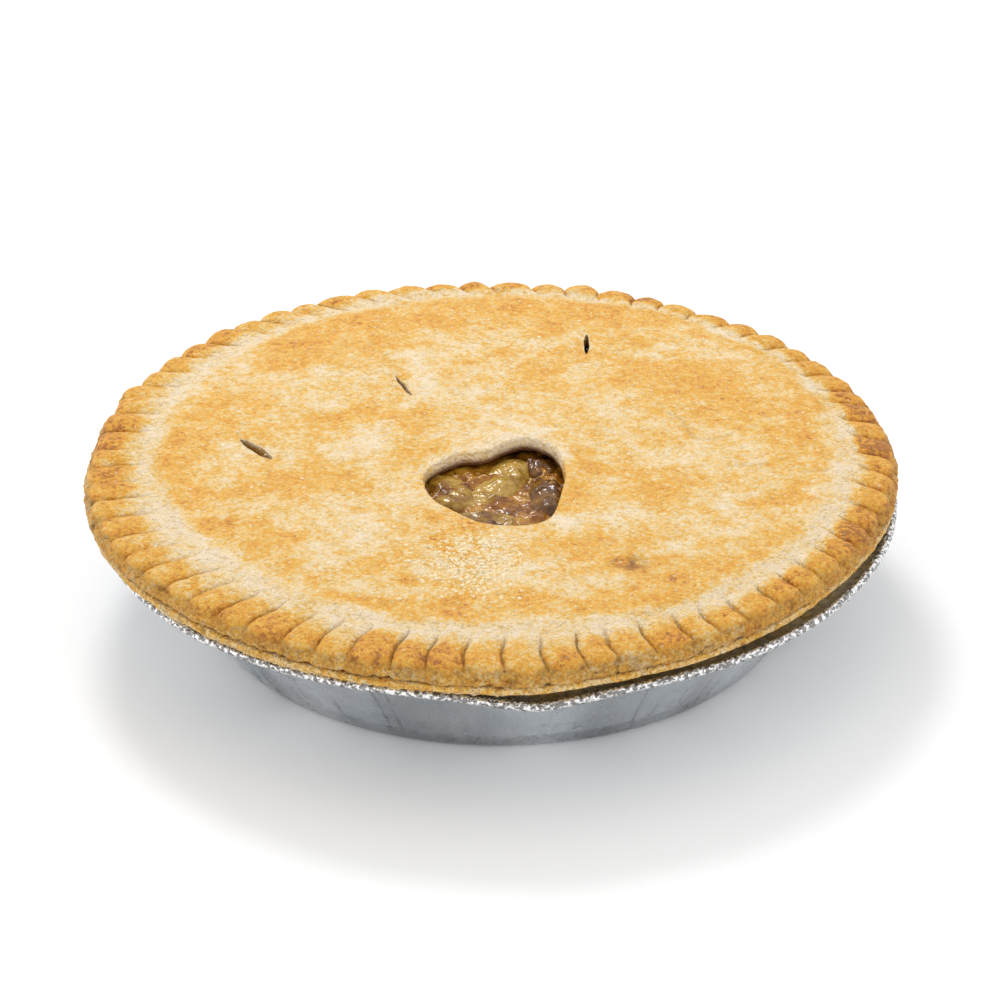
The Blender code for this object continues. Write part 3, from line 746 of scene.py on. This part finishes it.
# Apple slices: node, turn and lean in degrees, width, length, and how dark it is cooked
SLICE_HALF_HEIGHT = 3.9
SLICE_SHAPES = [
    ("apple_slice_1", 14.0, 6.0, 14.5, 24.0, 0.22),
    ("apple_slice_2", -22.0, -8.0, 14.0, 28.0, 0.06),
    ("apple_slice_3", 20.0, 5.0, 11.0, 11.0, 0.95),
    ("apple_slice_4", 6.0, -10.0, 11.0, 24.0, 0.72),
    ("apple_slice_5", 14.0, 7.0, 26.0, 13.5, 0.42),
]


def build_slice(node, turn, lean, wide, long, cooked, seed):
    """A cooked apple slice: a squashed superellipsoid, flatter along its cut faces and dented,
    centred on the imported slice's box."""
    low, high = (np.array(corner_point) / MM for corner_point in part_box(node))
    middle = (low + high) / 2.0
    around = np.arange(110) / 110 * TAU
    up = np.linspace(-0.5, 0.5, 62)[1:-1][:, None] * math.pi
    power = 0.62

    def signed(value):
        return np.sign(value) * np.abs(value) ** power

    x = signed(np.cos(up)) * signed(np.cos(around)) * wide * 0.56
    y = signed(np.cos(up)) * signed(np.sin(around)) * long * 0.56
    z = signed(np.sin(up)) * SLICE_HALF_HEIGHT + 0 * around
    x = x * (1.0 - 0.22 * z / SLICE_HALF_HEIGHT)
    dent = 0.9 * noise(x + 40 * seed, y, z, 8.0, 141 + seed) + 0.35 * noise(x, y, z, 3.0, 143 + seed)
    z = z + dent + 0.45 * cloud(x, y, z, 3.2, 2, 147 + seed)
    x = x + 1.1 * noise(y, z, x, 7.0, 151 + seed)
    y = y + 1.1 * noise(z, x, y, 7.0, 153 + seed)
    a, b = math.radians(turn), math.radians(lean)
    lx, lz = x * math.cos(b) + z * math.sin(b), -x * math.sin(b) + z * math.cos(b)
    wx, wy = lx * math.cos(a) - y * math.sin(a), lx * math.sin(a) + y * math.cos(a)
    points = np.stack([middle[0] + wx, middle[1] + wy, middle[2] + lz + 0.3], axis=-1)
    return surface(f"{node}_flesh", points, {"cooked": cooked})


def scatter(name, count, places, sizes, seed, squash=0.7):
    """Many small lumps as one mesh: each is an uneven octahedron, stretched and turned at random."""
    draw = np.random.default_rng(seed)
    tips = np.array([(1, 0, 0), (0, 1, 0), (-1, 0, 0), (0, -1, 0), (0, 0, 1), (0, 0, -1)], float)
    faces = np.array([(0, 1, 4), (1, 2, 4), (2, 3, 4), (3, 0, 4),
                      (1, 0, 5), (2, 1, 5), (3, 2, 5), (0, 3, 5)])
    shapes = tips[None] * draw.uniform(0.65, 1.25, (count, 6, 1))
    shapes = shapes + draw.uniform(-0.15, 0.15, (count, 6, 3))
    spin = draw.uniform(0.0, TAU, count)
    cosine, sine = np.cos(spin)[:, None], np.sin(spin)[:, None]
    x = shapes[..., 0] * cosine - shapes[..., 1] * sine
    y = shapes[..., 0] * sine + shapes[..., 1] * cosine
    shapes = np.stack([x, y, shapes[..., 2] * squash], axis=-1) * sizes[:, None, None]
    points = (shapes + places[:, None, :]).reshape(-1, 3) * MM
    loops = (faces[None] + 6 * np.arange(count)[:, None, None]).reshape(-1, 3)
    mesh = bpy.data.meshes.new(name)
    mesh.from_pydata(points, [], loops.tolist())
    shade = draw.uniform(0.0, 1.0, count)
    layer = mesh.attributes.new("shade", "FLOAT", "POINT")
    layer.data.foreach_set("value", np.repeat(shade, 6).astype(np.float32))
    mesh.shade_smooth()
    return add_object(name, mesh)


SPECK_TRIES = 5200
CRUMBS_NEAR = 620
CRUMBS_FAR = 120


def build_specks():
    """Tiny pale blisters and flour specks baked onto the lid, thicker on its right half."""
    draw = np.random.default_rng(21)
    radius = LID_EDGE * 0.96 * np.sqrt(draw.uniform(0.0, 1.0, SPECK_TRIES))
    angle = draw.uniform(0.0, TAU, SPECK_TRIES)
    x, y = radius * np.cos(angle), radius * np.sin(angle)
    wanted = 0.30 + 0.35 * ramp(x, -20.0, 40.0) + 0.35 * noise(x, y, 0 * x, 18.0, 161)
    keep = (draw.uniform(0.0, 1.0, SPECK_TRIES) < wanted) & (from_cutout(x, y) > 2.5)
    x, y = x[keep], y[keep]
    sizes = 0.16 + 0.30 * draw.uniform(0.0, 1.0, len(x)) ** 3
    places = np.column_stack([x, y, lid_height(x, y) - 0.02])
    return scatter("flour_specks", len(x), places, sizes, 23)


def build_crumbs():
    """Loose golden crumbs, most of them on the flaky patch at the front of the lid."""
    draw = np.random.default_rng(31)
    near_x, near_y = (draw.normal(place, 9.0, CRUMBS_NEAR) for place in FLAKY_MIDDLE)
    far_r = 100.0 * np.sqrt(draw.uniform(0.0, 1.0, CRUMBS_FAR))
    far_a = draw.uniform(0.0, TAU, CRUMBS_FAR)
    x = np.concatenate([near_x, far_r * np.cos(far_a)])
    y = np.concatenate([near_y, far_r * np.sin(far_a)])
    keep = (from_cutout(x, y) > 2.0) & (np.hypot(x, y) < LID_EDGE - 2.0)
    x, y = x[keep], y[keep]
    sizes = 0.42 + 0.7 * draw.uniform(0.0, 1.0, len(x)) ** 2.2
    places = np.column_stack([x, y, lid_height(x, y) - 0.05])
    return scatter("crumbs", len(x), places, sizes, 33, squash=0.55)


# Shader helpers

def new_material(name):
    """An empty material, and its node tree."""
    made = bpy.data.materials.new(name)
    made.use_nodes = True
    made.node_tree.nodes.clear()
    return made, Tree(made.node_tree)


class Tree:
    """Short calls for building a node tree."""

    def __init__(self, tree):
        self.tree = tree

    def node(self, kind, **settings):
        made = self.tree.nodes.new(kind)
        for key, value in settings.items():
            setattr(made, key, value)
        return made

    def link(self, source, target):
        self.tree.links.new(source, target)

    def put(self, target, value):
        """Links an output socket, or sets a plain value."""
        if isinstance(value, bpy.types.NodeSocket):
            self.link(value, target)
        else:
            target.default_value = value

    def math(self, operation, first, second, clamp=False):
        made = self.node("ShaderNodeMath", operation=operation, use_clamp=clamp)
        self.put(made.inputs[0], first)
        self.put(made.inputs[1], second)
        return made.outputs[0]

    def plus(self, first, second, clamp=False):
        return self.math("ADD", first, second, clamp)

    def minus(self, first, second):
        return self.math("SUBTRACT", first, second)

    def times(self, first, second):
        return self.math("MULTIPLY", first, second)

    def mix(self, share, first, second, blend="MIX"):
        made = self.node("ShaderNodeMix", data_type="RGBA", blend_type=blend)
        self.put(made.inputs["Factor"], share)
        self.put(made.inputs[6], first)
        self.put(made.inputs[7], second)
        return made.outputs[2]

    def noise(self, place, scale, detail=2.0, rough=0.55):
        made = self.node("ShaderNodeTexNoise")
        self.link(place, made.inputs["Vector"])
        made.inputs["Scale"].default_value = scale
        made.inputs["Detail"].default_value = detail
        made.inputs["Roughness"].default_value = rough
        return made.outputs["Fac"]

    def cells(self, place, scale):
        """Voronoi cells: a random tone for each cell, and the distance from its middle."""
        made = self.node("ShaderNodeTexVoronoi", feature="F1")
        self.link(place, made.inputs["Vector"])
        made.inputs["Scale"].default_value = scale
        split = self.node("ShaderNodeSeparateColor")
        self.link(made.outputs["Color"], split.inputs[0])
        return split.outputs[0], made.outputs["Distance"]

    def warp(self, place, scale, amount):
        """The place pushed about by noise, so that cells get uneven outlines."""
        made = self.node("ShaderNodeTexNoise")
        self.link(place, made.inputs["Vector"])
        made.inputs["Scale"].default_value = scale
        shift = self.node("ShaderNodeVectorMath", operation="MULTIPLY_ADD")
        self.link(made.outputs["Color"], shift.inputs[0])
        shift.inputs[1].default_value = (amount, amount, amount)
        self.link(place, shift.inputs[2])
        return shift.outputs[0]

    def remap(self, value, low, high, to_low=0.0, to_high=1.0):
        made = self.node("ShaderNodeMapRange")
        self.put(made.inputs["Value"], value)
        limits = {"From Min": low, "From Max": high, "To Min": to_low, "To Max": to_high}
        for key, number in limits.items():
            made.inputs[key].default_value = number
        return made.outputs["Result"]

    def attribute(self, name):
        return self.node("ShaderNodeAttribute", attribute_name=name).outputs["Fac"]

    def place(self):
        return self.node("ShaderNodeTexCoord").outputs["Object"]

    def ramp(self, value, stops):
        made = self.node("ShaderNodeValToRGB")
        self.put(made.inputs["Fac"], value)
        marks = made.color_ramp.elements
        while len(marks) < len(stops):
            marks.new(0.5)
        for mark, (at, colour) in zip(marks, stops):
            mark.position = at
            mark.color = (*colour, 1.0)
        return made.outputs["Color"]

    def group(self, shared, **inputs):
        made = self.node("ShaderNodeGroup", node_tree=shared)
        for key, value in inputs.items():
            self.put(made.inputs[key.replace("_", " ")], value)
        return made

    def finish(self, **inputs):
        """Ends the material with a Principled BSDF that has these inputs."""
        shader = self.node("ShaderNodeBsdfPrincipled")
        for key, value in inputs.items():
            self.put(shader.inputs[key.replace("_", " ")], value)
        out = self.node("ShaderNodeOutputMaterial")
        self.link(shader.outputs[0], out.inputs["Surface"])

    def bump(self, height, strength, distance):
        made = self.node("ShaderNodeBump")
        made.inputs["Strength"].default_value = strength
        made.inputs["Distance"].default_value = distance
        self.link(height, made.inputs["Height"])
        return made.outputs["Normal"]


def new_group(name, inputs, outputs):
    """An empty node group with named sockets: (name, kind, default) in, (name, kind) out."""
    made = bpy.data.node_groups.new(name, "ShaderNodeTree")
    for label, kind, default in inputs:
        socket = made.interface.new_socket(label, in_out="INPUT", socket_type=kind)
        socket.default_value = default
    for label, kind in outputs:
        made.interface.new_socket(label, in_out="OUTPUT", socket_type=kind)
    tree = Tree(made)
    return made, tree, tree.node("NodeGroupInput").outputs, tree.node("NodeGroupOutput").inputs


CREAM = (0.93, 0.76, 0.53)
STRAW = (0.89, 0.65, 0.31)
GOLD = (0.86, 0.48, 0.075)
AMBER = (0.80, 0.35, 0.04)
BROWN = (0.45, 0.17, 0.03)
SPECK = (0.97, 0.88, 0.70, 1.0)
PORE_SHADE = (0.46, 0.21, 0.055, 1.0)
# Dark brown mixed in by the Dark value: painted shade in most places, and the burnt pit's real stain.
SHADED = (0.17, 0.055, 0.012, 1.0)
FOIL_GREY = (0.54, 0.57, 0.60, 1.0)
FOIL_PALE = (0.67, 0.69, 0.71, 1.0)
KNURL_PAINTED_SHADE = (0.26, 0.25, 0.24, 1.0)
WHITE = (1.0, 1.0, 1.0, 1.0)
SYRUP_STOPS = [(0.34, (0.09, 0.028, 0.003)), (0.48, (0.26, 0.09, 0.007)), (0.64, (0.52, 0.25, 0.025))]
APPLE_STOPS = [
    (0.02, (0.48, 0.29, 0.055)), (0.30, (0.30, 0.15, 0.012)), (0.52, (0.20, 0.08, 0.007)),
    (0.78, (0.14, 0.052, 0.006)), (1.0, (0.095, 0.035, 0.004)),
]


def pastry_group():
    """Baked pastry: the oven colour from cream to brown, mottled and speckled, with painted shade in
    its pores and from the Dark value, and the height of its fine crumb."""
    made, tree, given, out = new_group(
        "Baked pastry",
        [("Bake", "NodeSocketFloat", 0.4), ("Dark", "NodeSocketFloat", 0.0),
         ("Porous", "NodeSocketFloat", 0.0), ("Flaky", "NodeSocketFloat", 0.0)],
        [("Colour", "NodeSocketColor"), ("Grain", "NodeSocketFloat")],
    )
    place = tree.place()
    bent = tree.warp(place, 900.0, 0.0006)
    broad = tree.remap(tree.noise(place, 150.0, 4.0, 0.6), 0.3, 0.7, -0.12, 0.12)
    fine = tree.remap(tree.noise(place, 700.0, 3.0, 0.7), 0.3, 0.7, -0.13, 0.13)
    grain_tone, grain_gap = tree.cells(bent, 950.0)
    lump_tone, lump_gap = tree.cells(bent, 430.0)
    bake = tree.plus(tree.plus(given["Bake"], broad), fine)
    bake = tree.plus(bake, tree.remap(grain_tone, 0.0, 1.0, -0.15, 0.15))
    bake = tree.plus(bake, tree.remap(lump_tone, 0.0, 1.0, -0.07, 0.07))
    crumbly = tree.times(given["Flaky"], tree.remap(lump_gap, 0.10, 0.50, -0.42, 0.34))
    bake = tree.plus(bake, crumbly, clamp=True)
    colour = tree.ramp(bake, [(0.05, CREAM), (0.30, STRAW), (0.56, GOLD), (0.80, AMBER), (1.0, BROWN)])
    speck = tree.times(tree.remap(grain_gap, 0.12, 0.30, 1.0, 0.0), tree.remap(grain_tone, 0.74, 0.80))
    blister = tree.times(tree.remap(lump_gap, 0.12, 0.28, 1.0, 0.0), tree.remap(lump_tone, 0.76, 0.82))
    speck = tree.math("MAXIMUM", speck, tree.times(blister, 0.8))
    speck = tree.times(speck, tree.remap(bake, 0.62, 0.85, 0.75, 0.2))
    speck = tree.times(speck, tree.remap(given["Porous"], 0.0, 1.0, 1.0, 0.1))
    colour = tree.mix(speck, colour, SPECK)
    # Painted shade in the pores of porous pastry.
    pores = tree.remap(tree.noise(place, 1100.0, 2.0, 0.6), 0.38, 0.50, 1.0, 0.0)
    pores = tree.times(pores, given["Porous"])
    colour = tree.mix(tree.times(pores, 0.55), colour, PORE_SHADE)
    # Dark value: painted shade from grooves, pits, cracks, vents, the cut-out's wall and under
    # overhangs, with the burnt pit's stain and the rim side's darker tone.
    colour = tree.mix(given["Dark"], colour, SHADED)
    height = tree.minus(tree.noise(place, 1000.0, 4.0, 0.7), tree.times(pores, 0.35))
    height = tree.minus(height, tree.times(grain_gap, 1.1))
    height = tree.minus(height, tree.times(lump_gap, 0.7))
    height = tree.plus(height, tree.times(speck, 0.6))
    crumb_gap = tree.times(given["Flaky"], lump_gap)
    height = tree.minus(height, tree.times(crumb_gap, 1.6))
    tree.link(colour, out["Colour"])
    tree.link(height, out["Grain"])
    return made


def pastry_material(name, shared, roughness, bump):
    made, tree = new_material(name)
    baked = tree.group(shared, Bake=tree.attribute("bake"), Dark=tree.attribute("dark"),
                       Porous=tree.attribute("porous"), Flaky=tree.attribute("flaky"))
    normal = tree.bump(baked.outputs["Grain"], bump, 0.0007)
    tree.finish(Base_Color=baked.outputs["Colour"], Roughness=roughness, Normal=normal,
                Specular_IOR_Level=0.35)
    return made


def foil_material():
    """Pressed foil: soft upright streaks on the wall, patches of grey, and a knurled bead whose dark
    flecks are painted shade and painted dark reflections.
    """
    made, tree = new_material("Pressed foil")
    place = tree.place()
    bead = tree.attribute("bead")
    crinkle = tree.noise(place, 260.0, 3.0, 0.6)
    broad = tree.noise(place, 45.0, 3.0, 0.5)
    split = tree.node("ShaderNodeSeparateXYZ")
    tree.link(place, split.inputs[0])
    level = tree.node("ShaderNodeCombineXYZ")
    tree.link(tree.times(split.outputs["Z"], 0.16), level.inputs[2])
    outward = tree.node("ShaderNodeCombineXYZ")
    tree.link(split.outputs["X"], outward.inputs[0])
    tree.link(split.outputs["Y"], outward.inputs[1])
    direction = tree.node("ShaderNodeVectorMath", operation="NORMALIZE")
    tree.link(outward.outputs[0], direction.inputs[0])
    streak_place = tree.node("ShaderNodeVectorMath", operation="MULTIPLY_ADD")
    tree.link(direction.outputs[0], streak_place.inputs[0])
    streak_place.inputs[1].default_value = (0.1, 0.1, 0.1)
    tree.link(level.outputs[0], streak_place.inputs[2])
    streak = tree.noise(streak_place.outputs[0], 75.0, 3.0, 0.6)
    streak = tree.times(streak, tree.attribute("wall"))
    colour = tree.mix(tree.remap(broad, 0.35, 0.65), FOIL_GREY, FOIL_PALE)
    # Dark flecks on the bead: painted shade and painted dark reflections between the knurls.
    knurl = tree.remap(tree.noise(place, 780.0, 2.0, 0.6), 0.43, 0.55)
    knurl_painted_flecks = tree.mix(knurl, KNURL_PAINTED_SHADE, WHITE)
    patch = tree.remap(tree.noise(streak_place.outputs[0], 22.0, 2.0, 0.5), 0.38, 0.62, 0.74, 1.14)
    colour = tree.mix(1.0, colour, patch, "MULTIPLY")
    colour = tree.mix(bead, colour, knurl_painted_flecks)
    rough = tree.remap(crinkle, 0.3, 0.7, 0.22, 0.38)
    height = tree.plus(tree.times(crinkle, 0.4), broad)
    height = tree.plus(height, tree.times(streak, 5.0))
    height = tree.plus(height, tree.times(tree.times(knurl, bead), 0.8))
    normal = tree.bump(height, 0.6, 0.0012)
    tree.finish(Base_Color=colour, Metallic=1.0, Roughness=rough, Normal=normal)
    return made


def syrup_material():
    made, tree = new_material("Amber syrup")
    place = tree.place()
    depth = tree.noise(place, 130.0, 3.0, 0.6)
    colour = tree.ramp(depth, SYRUP_STOPS)
    normal = tree.bump(tree.noise(place, 460.0, 1.0, 0.5), 0.5, 0.0018)
    tree.finish(Base_Color=colour, Roughness=0.05, Normal=normal, Specular_IOR_Level=0.42)
    return made


def apple_material():
    made, tree = new_material("Cooked apple")
    place = tree.place()
    mottle = tree.remap(tree.noise(place, 160.0, 4.0, 0.6), 0.3, 0.7, -0.45, 0.45)
    colour = tree.ramp(tree.plus(tree.attribute("cooked"), mottle), APPLE_STOPS)
    normal = tree.bump(tree.noise(place, 430.0, 1.0, 0.5), 0.5, 0.0017)
    tree.finish(Base_Color=colour, Roughness=0.07, Normal=normal, Specular_IOR_Level=0.42)
    return made


def crumb_material(name, first, second):
    made, tree = new_material(name)
    mottle = tree.remap(tree.noise(tree.place(), 900.0), 0.3, 0.7, -0.2, 0.2)
    share = tree.plus(tree.attribute("shade"), mottle, clamp=True)
    colour = tree.mix(share, (*first, 1.0), (*second, 1.0))
    tree.finish(Base_Color=colour, Roughness=0.7, Specular_IOR_Level=0.3)
    return made


def floor_material():
    made, tree = new_material("Pale floor")
    tone = tree.remap(tree.noise(tree.place(), 2.0), 0.3, 0.7)
    colour = tree.mix(tone, (0.97, 0.97, 0.97, 1.0), (0.98, 0.98, 0.98, 1.0))
    tree.finish(Base_Color=colour, Roughness=0.9, Specular_IOR_Level=0.1)
    return made


# Scene

def dress(piece, slot_name, finish, *nodes):
    """Puts a finished piece on the pie's body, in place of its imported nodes."""
    piece.data.materials.clear()
    piece.data.materials.append(finish)
    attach(piece, "root")
    if nodes:
        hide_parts(*nodes)


def build_pie():
    """Every piece with its finish."""
    shared = pastry_group()
    lid = build_lid()
    cut_vents(lid)
    dress(lid, "crust_top", pastry_material("Golden lid", shared, 0.5, 0.9), "top_crust")
    dress(build_rim(), "crust_top", pastry_material("Browned rim", shared, 0.6, 1.0), "top_crust")
    dress(build_case(), "crust_base", pastry_material("Pale case", shared, 0.7, 1.0), "bottom_crust")
    dress(build_tin(), "foil", foil_material(), "foil_tin")
    dress(build_syrup(), "filling", syrup_material(), "filling")
    apple = apple_material()
    for seed, (node, turn, lean, wide, long, cooked) in enumerate(SLICE_SHAPES):
        dress(build_slice(node, turn, lean, wide, long, cooked, seed), "apple", apple, node)
    flour = crumb_material("Flour specks", (0.92, 0.74, 0.46), (0.96, 0.88, 0.70))
    dress(build_specks(), "crust_top", flour)
    golden = crumb_material("Golden crumbs", (0.92, 0.72, 0.40), (0.95, 0.83, 0.58))
    dress(build_crumbs(), "crust_top", golden)


def area_light(name, place, aim, size, power):
    """A round soft lamp at a place, turned towards its aim."""
    lamp = bpy.data.lights.new(name, "AREA")
    lamp.shape = "DISK"
    lamp.size = size
    lamp.energy = power
    thing = add_object(name, lamp)
    thing.location = place
    direction = np.array(aim) - np.array(place)
    flat = math.hypot(direction[0], direction[1])
    turn = math.atan2(-direction[0], direction[1])
    thing.rotation_euler = (math.atan2(flat, -direction[2]), 0.0, turn)


def build_stage():
    """A wide pale floor, even white surroundings and soft lamps."""
    mesh = bpy.data.meshes.new("floor")
    far = 6.0
    corners = [(-far, -far, 0), (far, -far, 0), (far, far, 0), (-far, far, 0)]
    mesh.from_pydata(corners, [], [(0, 1, 2, 3)])
    floor = add_object("floor", mesh)
    floor.location = (0.0, 0.0, -0.0002)
    mesh.materials.append(floor_material())
    world = bpy.data.worlds.new("Studio")
    bpy.context.scene.world = world
    world.use_nodes = True
    background = world.node_tree.nodes["Background"].inputs
    background["Color"].default_value = WHITE
    background["Strength"].default_value = 0.94
    area_light("key", (-0.25, 0.90, 1.10), (0.0, 0.0, 0.04), 0.42, 7.0)
    area_light("left strip", (-1.3, -0.7, 0.3), (0.0, 0.0, 0.02), 0.5, 1.5)
    area_light("right strip", (1.3, -0.7, 0.3), (0.0, 0.0, 0.02), 0.5, 1.5)


def build_camera():
    """The photograph's view: 29 degrees above the table, from far off with a long lens."""
    elevation = math.radians(29.115)
    distance = 3.0
    target_height = 0.03
    camera = bpy.data.cameras.new("camera")
    camera.sensor_width = 36.0
    camera.lens = 351.8
    camera.shift_x = 0.0012
    camera.shift_y = 0.0182
    camera.clip_end = 50.0
    thing = add_object("camera", camera)
    back = -distance * math.cos(elevation)
    thing.location = (0.0, back, target_height + distance * math.sin(elevation))
    thing.rotation_euler = (math.pi / 2 - elevation, 0.0, 0.0)
    bpy.context.scene.camera = thing
    bpy.context.scene.view_settings.view_transform = "Standard"
    bpy.context.scene.view_settings.look = "None"


build_camera()
build_stage()
build_pie()
